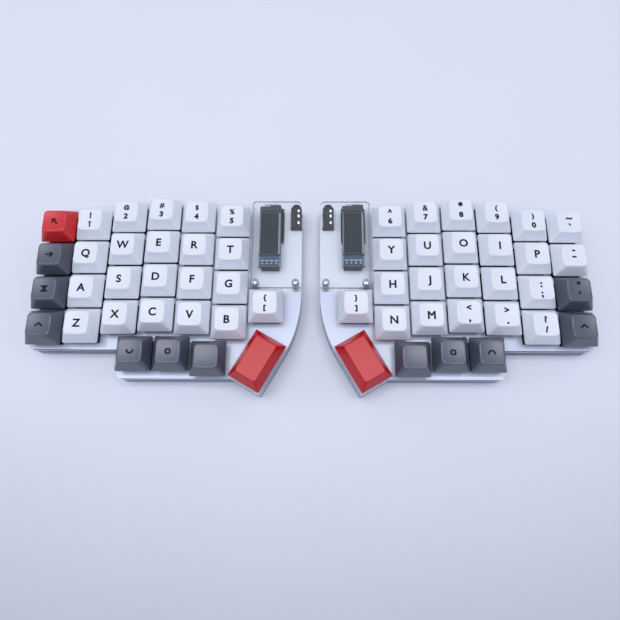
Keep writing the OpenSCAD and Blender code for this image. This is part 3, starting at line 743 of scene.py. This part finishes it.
keyNodes = sorted(name for name in nodes if "_key" in name)
greyKeys = {"left_key_tab", "left_key_lock", "left_key_shift", "right_key_quote", "right_key_shift"}
columnKeys = {"left": "tab q w e r t".split()[::-1], "right": "y u o i p dash".split()}
rowPitch = 19.05
longTurn = 30.0
for name in keyNodes:
    low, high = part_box(name)
    x, y = (low.x + high.x) / 2 / mm, (low.y + high.y) / 2 / mm
    if name.endswith("number_keys"):
        side = name.split("_")[0]
        for column, below in enumerate(columnKeys[side], 1):
            low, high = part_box(f"{side}_key_{below}")
            x, y = (low.x + high.x) / 2 / mm, (low.y + high.y) / 2 / mm + rowPitch
            red = side == "left" and column == 6
            plastic, slot = (redPbt, "red_caps") if red else (whitePbt, "white_caps")
            addKey(f"{side}_number_{column}", name, x, y, plastic)
    elif "long_thumb" in name:
        turn = -longTurn if name.startswith("left") else longTurn
        addKey(name, name, x, y, glossyRedAbs, turn, True)
    elif "thumb" in name or name in greyKeys:
        addKey(name, name, x, y, greyPbt)
    else:
        addKey(name, name, x, y, whitePbt)
for side, mesh in switchMeshes.items():
    addPiece(
        f"{side}_switches", mesh, [blackNylon, nickelSteel], "base", ["switch_housings"],
    )
print("keys:", len(keyNodes), "nodes capped")

# Screws: pan heads with a cross recess, on the places of the plain ones
screwLook = {
    "head": 1.9, "high": 1.3, "rim": 0.5, "shaft": 1.0, "long": 4.5, "crossLong": 2.5, "crossWide": 0.72,
    "crossDeep": 0.9,
}


def screwMesh(look):  # one screw, its head's underside at zero
    head, high, rim, shaft, long = (look[k] for k in ("head", "high", "rim", "shaft", "long"))
    profile = [(shaft * 0.7, -long), (shaft, -long + 0.4), (shaft, 0)]
    profile += [(head - 0.12, 0), (head, 0.12), (head, rim)]
    dome = [math.radians(15 * i) for i in range(1, 6)]
    profile += [(head * math.cos(a), rim + (high - rim) * math.sin(a)) for a in dome] + [(0.2, high)]
    turns = [i * math.pi / 16 for i in range(32)]
    solid = bmesh.new()
    addRings(solid, [[Vector((r * math.cos(a), r * math.sin(a), z)) for a in turns] for r, z in profile])
    cutter = bmesh.new()
    reach, wide, deep = look["crossLong"] / 2, look["crossWide"] / 2, look["crossDeep"]
    outline = [
        (wide, reach), (-wide, reach), (-wide, wide), (-reach, wide), (-reach, -wide), (-wide, -wide),
        (-wide, -reach), (wide, -reach), (wide, -wide), (reach, -wide), (reach, wide), (wide, wide),
    ]
    levels = ((0.6, high - deep), (1.0, high), (1.1, high + 0.3))  # the recess narrows downwards
    addRings(cutter, [[Vector((x * s, y * s, z)) for x, y in outline] for s, z in levels])
    parts = []
    for mesh in (solid, cutter):
        bmesh.ops.recalc_face_normals(mesh, faces=mesh.faces)
        data = bpy.data.meshes.new("screwPart")
        mesh.to_mesh(data)
        mesh.free()
        parts.append(bpy.data.objects.new("screwPart", data))
        scene.collection.objects.link(parts[-1])
    recess = parts[0].modifiers.new("recess", "BOOLEAN")
    recess.object = parts[1]
    made = bpy.data.meshes.new_from_object(parts[0].evaluated_get(bpy.context.evaluated_depsgraph_get()))
    for part in parts:
        bpy.data.objects.remove(part)
    return made


def screwPlaces(node):  # middle, underside of the head and way up of each screw of the frame
    mesh = bmesh.new()
    mesh.from_mesh(node.data)
    bmesh.ops.remove_doubles(mesh, verts=mesh.verts, dist=1e-7)
    left = set(mesh.verts)
    places = []
    while left:
        found, edge = set(), [left.pop()]
        while edge:
            vert = edge.pop()
            found.add(vert)
            for link in vert.link_edges:
                other = link.other_vert(vert)
                if other in left:
                    left.discard(other)
                    edge.append(other)
        xs, ys, zs = zip(*(vert.co / mm for vert in found))
        up = max(zs) > 10
        seat = max(zs) - screwLook["high"] if up else min(zs) + screwLook["high"]
        places.append(((min(xs) + max(xs)) / 2, (min(ys) + max(ys)) / 2, seat, up))
    mesh.free()
    return sorted(places)


def addScrews():
    one = screwMesh(screwLook)
    mesh = bmesh.new()
    for turn, (x, y, z, up) in enumerate(screwPlaces(nodes["screws"])):
        before = len(mesh.verts)
        mesh.from_mesh(one)
        mesh.verts.ensure_lookup_table()
        flip = Matrix.Identity(4) if up else Matrix.Rotation(math.pi, 4, "X")
        place = Matrix.Translation((x, y, z)) @ flip @ Matrix.Rotation(math.radians(37 * turn), 4, "Z")
        bmesh.ops.transform(mesh, matrix=place, verts=mesh.verts[before:])
    bpy.data.meshes.remove(one)
    addPiece("screws_cross_recess", mesh, [nickelSteel], "base", ["screws"], 40)


addScrews()
print("switches and screws done")

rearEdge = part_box("switch_plates")[1].y / mm

# Display: blue board with a two-layer panel, folded ribbon, inked marks and four soldered pins
displayLook = {  # each centre is its x and how far the whole display stands back
    "centres": ((-22.4, 0.2), (23.2, 0.6)), "width": 12.0, "board": (13.95, 15.15), "ledge": 15.85,
    "glassTop": 16.6, "front": rearEdge - 39.9, "glassFront": rearEdge - 33.15,
    "upperRear": rearEdge - 8.44, "rear": rearEdge - 4.15, "glassWidth": 11.5, "film": (-5.25, 4.6),
    "rearFilm": (-5.65, 5.7), "pinPitch": 2.54, "pinRow": 1.7, "pin": 0.5, "pinHigh": 0.95,
    "solder": ((0.8, -0.02), (0.8, 0.03), (0.5, 0.08), (0.38, 0.3), (0.3, 0.5)),  # radius and height
    "silkRow": 3.7, "silkWide": 0.32, "silk": ((-0.62, 0.75), (0.0, 0.95), (0.6, 0.7)),  # place and length
    "socket": (10.2, 2.5, 7.2), "socketBack": 0.45, "ribbonWidth": 6.0, "ribbonShift": 2.7,
    "ribbonRadius": 1.1, "ribbonThick": 0.2,
}


# Half turn from the glass to the back of the board
def addRibbon(mesh, x, width, rear, radius, low, high, thick, finish):
    middle = (low + high) / 2
    rise = (high - low) / 2
    outline = []
    for size in (1.0, 1.0 - thick / rise):
        bend = [math.radians(90 - 15 * i) for i in range(13)]
        path = [(rear - 2.6, middle + rise * size)]
        path += [(rear + radius * size * math.cos(a), middle + rise * size * math.sin(a)) for a in bend]
        path += [(rear - 0.6, middle - rise * size)]
        outline.append(path)
    around = outline[0] + outline[1][::-1]
    ends = [[mesh.verts.new((side, y, z)) for y, z in around] for side in (x - width / 2, x + width / 2)]
    count, half = len(around), len(outline[0])
    faces = []
    for i in range(count):
        j = (i + 1) % count
        faces.append(mesh.faces.new((ends[0][i], ends[0][j], ends[1][j], ends[1][i])))
    for end in ends:
        for i in range(half - 1):
            faces.append(mesh.faces.new((end[i], end[i + 1], end[count - 2 - i], end[count - 1 - i])))
    for face in faces:
        face.material_index = finish


def addDisplay(name, x, back, look):
    mesh = bmesh.new()
    half, front, rear = look["width"] / 2, look["front"], look["rear"]
    low, high = look["board"]
    addBlock(mesh, (x - half, front, low), (x + half, rear, high), 0.08, 0)
    glass = look["glassWidth"] / 2
    ledge, top, glassFront, upperRear = (look[k] for k in ("ledge", "glassTop", "glassFront", "upperRear"))
    addBlock(mesh, (x - glass, glassFront, high + 0.04), (x + glass, rear, ledge), 0.06, 1)
    addBlock(mesh, (x - glass, glassFront, ledge + 0.01), (x + glass, upperRear, top - 0.03), 0.06, 1)
    left, right = look["film"]
    addBlock(mesh, (x + left, glassFront + 0.25, top - 0.08), (x + right, upperRear - 0.15, top), 0.02, 2)
    borders = ((-glass + 0.06, left - 0.02), (right + 0.02, glass - 0.06))  # bare glass beside the film
    for here, there in borders:
        start, end = (x + here, glassFront + 0.3, top - 0.08), (x + there, upperRear - 0.2, top - 0.01)
        addBlock(mesh, start, end, 0.02, 7)
    left, right = look["rearFilm"]
    addBlock(mesh, (x + left, upperRear + 0.15, ledge - 0.1), (x + right, rear - 0.1, ledge + 0.25), 0.05, 3)
    addBlock(mesh, (x - 4.2, upperRear + 0.5, ledge), (x + 3.4, upperRear + 1.4, ledge + 0.45), 0.05, 2)
    addRibbon(
        mesh, x + look["ribbonShift"], look["ribbonWidth"], rear, look["ribbonRadius"], low - 0.25,
        ledge + 0.5, look["ribbonThick"], 3,
    )
    wide, shallow, foot = look["socket"]
    quarter = wide / 8 - 0.01  # half of one of the socket's four segments
    thick, bar = look["pin"] / 2, look["silkWide"] / 2
    turns = [i * math.pi / 8 for i in range(16)]
    for i in range(4):
        pin = x + look["pinPitch"] * (i - 1.5)
        y = front + look["socketBack"]
        addBlock(mesh, (pin - quarter, y, foot), (pin + quarter, y + shallow, low - 0.05), 0.3, 4)
        y = front + look["pinRow"]
        addRings(mesh, [
            [Vector((pin + r * math.cos(a), y + r * math.sin(a), high + z)) for a in turns]
            for r, z in look["solder"]
        ], 5)
        start, end = (pin - thick, y - thick, high), (pin + thick, y + thick, high + look["pinHigh"])
        addBlock(mesh, start, end, 0.06, 8)
        y = front + look["silkRow"]
        for step, tall in look["silk"]:  # plain bars stand for the inked words
            start = (pin + step - bar, y - tall / 2, high - 0.01)
            addBlock(mesh, start, (pin + step + bar, y + tall / 2, high + 0.03), 0, 6)
    for side in (-1, 1):
        line = x + side * (half - 0.4)  # inked line along the board's side
        start, end = (line - 0.08, front + 0.5, high - 0.01), (line + 0.08, glassFront - 0.5, high + 0.03)
        addBlock(mesh, start, end, 0, 6)
    finishes = [blueLacquer, groundGlass, screenFilm, darkRibbon, blackNylon, solderPaintedShade, whiteInk]
    finishes += [bareGlass, silverContact]
    bmesh.ops.translate(mesh, vec=(0, back, 0), verts=mesh.verts)
    addPiece(name, mesh, finishes, "base", ["display_modules"], 20)


for side, (x, back) in zip(("left", "right"), displayLook["centres"]):
    addDisplay(f"{side}_display", x, back, displayLook)

# Controller under the display: board with half-round notches along its sides, on two header strips
controllerLook = {
    "centres": (-21.95, 23.65), "width": 13.6, "front": rearEdge - 23.1, "rear": rearEdge - 2.6,
    "board": (9.15, 10.15), "foot": 7.2, "header": 2.5, "inset": 2.0, "segments": 6, "pitch": 2.54,
    "notches": 8, "notch": 0.6, "chip": (7.0, 7.0, 0.9),
}


def addController(name, x, look):
    mesh = bmesh.new()
    half, front, rear, radius = look["width"] / 2, look["front"], look["rear"], look["notch"]
    low, high = look["board"]
    middle = (front + rear) / 2
    rows = [middle + look["pitch"] * (i - (look["notches"] - 1) / 2) for i in range(look["notches"])]
    bend = [math.radians(30 * i - 90) for i in range(7)]
    edge = [(half - radius * math.cos(a), y + radius * math.sin(a)) for y in rows for a in bend]
    outline = [(half, front)] + edge + [(half, rear)]
    outline += [(-px, py) for px, py in reversed(outline)]
    loops = [[mesh.verts.new((x + px, py, z)) for px, py in outline] for z in (low, high)]
    for i in range(len(outline)):
        mesh.faces.new((loops[0][i - 1], loops[0][i], loops[1][i], loops[1][i - 1]))
    for loop in loops:
        mesh.faces.new(loop)
    wide, start = look["header"], front + look["inset"]
    step = (rear - look["inset"] - start) / look["segments"]
    for side in (-1, 1):
        strip = x + side * (half - wide / 2)
        for i in range(look["segments"]):
            y = start + i * step
            corner = (strip - wide / 2, y + 0.01, look["foot"])
            addBlock(mesh, corner, (strip + wide / 2, y + step - 0.01, low - 0.02), 0.35, 1)
    wide, deep, tall = look["chip"]
    addBlock(mesh, (x - wide / 2, middle - deep, high + 0.02), (x + wide / 2, middle, high + tall), 0.1, 1)
    addPiece(name, mesh, [blackLacquer, blackNylon], "base", ["controller_boards"], 20)


for side, x in zip(("left", "right"), controllerLook["centres"]):
    addController(f"{side}_controller", x, controllerLook)

# Link jack: moulded body with a round nose, and sprung contacts behind three windows
jackLook = {
    "centres": (-8.3, 9.7), "front": rearEdge - 14.7, "rear": rearEdge - 0.5, "low": 7.2, "high": 12.2,
    "width": 6.0, "nose": 2.0, "noseRound": 4.7, "bore": 3.6, "edge": 0.12, "windowShift": 1.3,
    "windows": (4.2, 7.3, 11.4), "window": (1.2, 1.6), "sunk": 0.4, "feet": (1.2, 9.4),
    "foot": (0.7, 1.2, 0.35),
}


def addJack(name, x, look):
    mesh = bmesh.new()
    half, edge = look["width"] / 2, look["edge"]
    front, rear, low, high = (look[k] for k in ("front", "rear", "low", "high"))
    shoulder = rear - look["nose"]
    size, reach, sunk = look["window"][0] / 2, look["window"][1] / 2, look["sunk"]
    centre = x + look["windowShift"]
    addBlock(mesh, (x - half, front, low), (x + half, shoulder, high - sunk), edge, 0)
    first, last, top = front + edge, shoulder - edge, high - sunk - 0.02
    addBlock(mesh, (x - half + edge, first, top), (centre - size, last, high), 0.05, 0)
    addBlock(mesh, (centre + size, first, top), (x + half - edge, last, high), 0.05, 0)
    rows = [rear - window for window in look["windows"]]
    bars = [first] + [y + s * reach for y in rows[::-1] for s in (-1, 1)] + [last]
    for start, end in zip(bars[::2], bars[1::2]):
        addBlock(mesh, (centre - size - 0.05, start, top), (centre + size + 0.05, end, high), 0, 0)
    wide, deep = size - 0.05, reach - 0.05
    for y in rows:  # sprung contacts
        addBlock(mesh, (centre - wide, y - deep, top), (centre + wide, y + deep, high - 0.06), 0.06, 2)
    middle = (low + high) / 2
    outer, inner = look["noseRound"] / 2, look["bore"] / 2
    profile = [
        (outer + 0.05, shoulder - 0.05), (outer, shoulder), (outer, rear - 0.7), (outer - 0.25, rear - 0.2),
        (outer - 0.45, rear), (inner + edge, rear), (inner, rear - edge), (inner, shoulder - 1.2),
    ]
    turns = [i * math.pi / 16 for i in range(32)]
    addRings(mesh, [
        [Vector((x + r * math.cos(a), y, middle + r * math.sin(a))) for a in turns] for r, y in profile
    ], 0)
    wide, deep, tall = look["foot"]
    for foot in (x - half, x + half):  # soldered feet beside the body
        for y in (front + place for place in look["feet"]):
            start, end = (foot - wide / 2, y - deep / 2, low), (foot + wide / 2, y + deep / 2, low + tall)
            addBlock(mesh, start, end, 0.08, 1)
    addPiece(name, mesh, [blackNylon, solderPaintedShade, silverContact], "base", ["link_jacks"], 20)


for side, x in zip(("left", "right"), jackLook["centres"]):
    addJack(f"{side}_link_jack", x, jackLook)
print("displays, controllers and jacks done")

# Light: a broad soft panel overhead, a little to the left, in an even pale room
roomLight = {
    "roomFront": "#cfdafb", "roomBehind": "#ecf0fa", "softLevel": (0.17, 0.4), "sideLift": 0.52,
    "seenLevel": (0.62, 0.7), "lamp": "#f7f9fe", "lampPower": 14.4, "lampSize": (1.5, 0.68),
    "lampPlace": (-0.12, 0.01, 1.5), "floorPaintedLight": "#eaecf6", "floorPaintedShade": "#c2c4cc", "floorReach": 2.5,
    "floorMiddle": (0.0, 0.1, 0.0), "floorSpread": (0.5, 1.0, 1.0), "paintedFalloff": (0.16, 0.29),  # in metres
}


def lightRoom(look):
    world = bpy.data.worlds.new("paleRoom")
    world.use_nodes = True
    tree = world.node_tree
    tree.nodes.clear()
    way = addNode(tree, "ShaderNodeTexCoord").outputs["Generated"]
    split = addNode(tree, "ShaderNodeSeparateXYZ", {}, {"Vector": way})
    turn = addNode(
        tree, "ShaderNodeMapRange", {"From Min": -0.7, "From Max": 0.7}, {"Value": split.outputs["Y"]},
    )
    tint = addNode(
        tree, "ShaderNodeMix", {6: hexColour(look["roomFront"]), 7: hexColour(look["roomBehind"])},
        {0: turn.outputs["Result"]}, data_type="RGBA",
    )
    levels = []  # one for what lights matt surfaces, one for what is seen directly, in gloss and in glass
    for front, behind in (look["softLevel"], look["seenLevel"]):
        levels.append(addNode(
            tree, "ShaderNodeMapRange", {"To Min": front, "To Max": behind},
            {"Value": turn.outputs["Result"]},
        ).outputs["Result"])
    aside = addNode(tree, "ShaderNodeMath", {}, {0: split.outputs["X"]}, operation="ABSOLUTE")
    soft = addNode(
        tree, "ShaderNodeMath", {1: look["sideLift"]}, {0: aside.outputs[0], 2: levels[0]},
        operation="MULTIPLY_ADD",
    )
    path = addNode(tree, "ShaderNodeLightPath").outputs
    mirrored = addNode(
        tree, "ShaderNodeMath", {}, {0: path["Is Glossy Ray"], 1: path["Is Transmission Ray"]},
        operation="MAXIMUM",
    )
    seen = addNode(
        tree, "ShaderNodeMath", {}, {0: path["Is Camera Ray"], 1: mirrored.outputs[0]}, operation="MAXIMUM",
    )
    level = addNode(
        tree, "ShaderNodeMix", {}, {0: seen.outputs[0], 2: soft.outputs[0], 3: levels[1]},
        data_type="FLOAT",
    )
    background = addNode(
        tree, "ShaderNodeBackground", {}, {"Color": tint.outputs[2], "Strength": level.outputs[0]},
    )
    addNode(tree, "ShaderNodeOutputWorld", {}, {"Surface": background.outputs["Background"]})
    scene.world = world
    data = bpy.data.lights.new("softLamp", "AREA")
    data.shape = "RECTANGLE"
    data.size, data.size_y = look["lampSize"]
    data.energy = look["lampPower"]
    data.color = hexColour(look["lamp"])[:3]
    lamp = bpy.data.objects.new("softLamp", data)
    lamp.location = look["lampPlace"]
    scene.collection.objects.link(lamp)
    # Floor board: matt and faintly mottled; darker away from the middle as painted shade for the light's
    # falloff, lighter round the keyboard as painted light
    material, tree, place = startMaterial("paleTable")
    mottle = addNode(tree, "ShaderNodeTexNoise", {"Scale": perMm(60.0), "Detail": 2.0}, {"Vector": place})
    spread = addNode(
        tree, "ShaderNodeVectorMath", {1: look["floorSpread"]}, {0: place}, operation="MULTIPLY",
    )
    away = addNode(
        tree, "ShaderNodeVectorMath", {1: look["floorMiddle"]}, {0: spread.outputs["Vector"]},
        operation="DISTANCE",
    )
    # painted light and shade: the floor's colour darkens with distance from the middle
    near, far = look["paintedFalloff"]
    paintedFalloff = addNode(
        tree, "ShaderNodeMapRange", {"From Min": near, "From Max": far}, {"Value": away.outputs["Value"]},
    )
    uneven = addNode(
        tree, "ShaderNodeMath", {1: 0.08}, {0: mottle.outputs["Fac"], 2: paintedFalloff.outputs["Result"]},
        operation="MULTIPLY_ADD", use_clamp=True,
    )
    tint = addNode(
        tree, "ShaderNodeMix", {6: hexColour(look["floorPaintedLight"]), 7: hexColour(look["floorPaintedShade"])},
        {0: uneven.outputs[0]}, data_type="RGBA",
    )
    endMaterial(tree, {"Roughness": 0.6}, {"Base Color": tint.outputs[2]})
    floor = bpy.data.meshes.new("floor")
    reach = look["floorReach"]
    corners = [(-reach, -reach, 0), (reach, -reach, 0), (reach, reach, 0), (-reach, reach, 0)]
    floor.from_pydata(corners, [], [(0, 1, 2, 3)])
    floor.materials.append(material)
    table = bpy.data.objects.new("floor", floor)
    scene.collection.objects.link(table)


lightRoom(roomLight)
print("light and floor set")
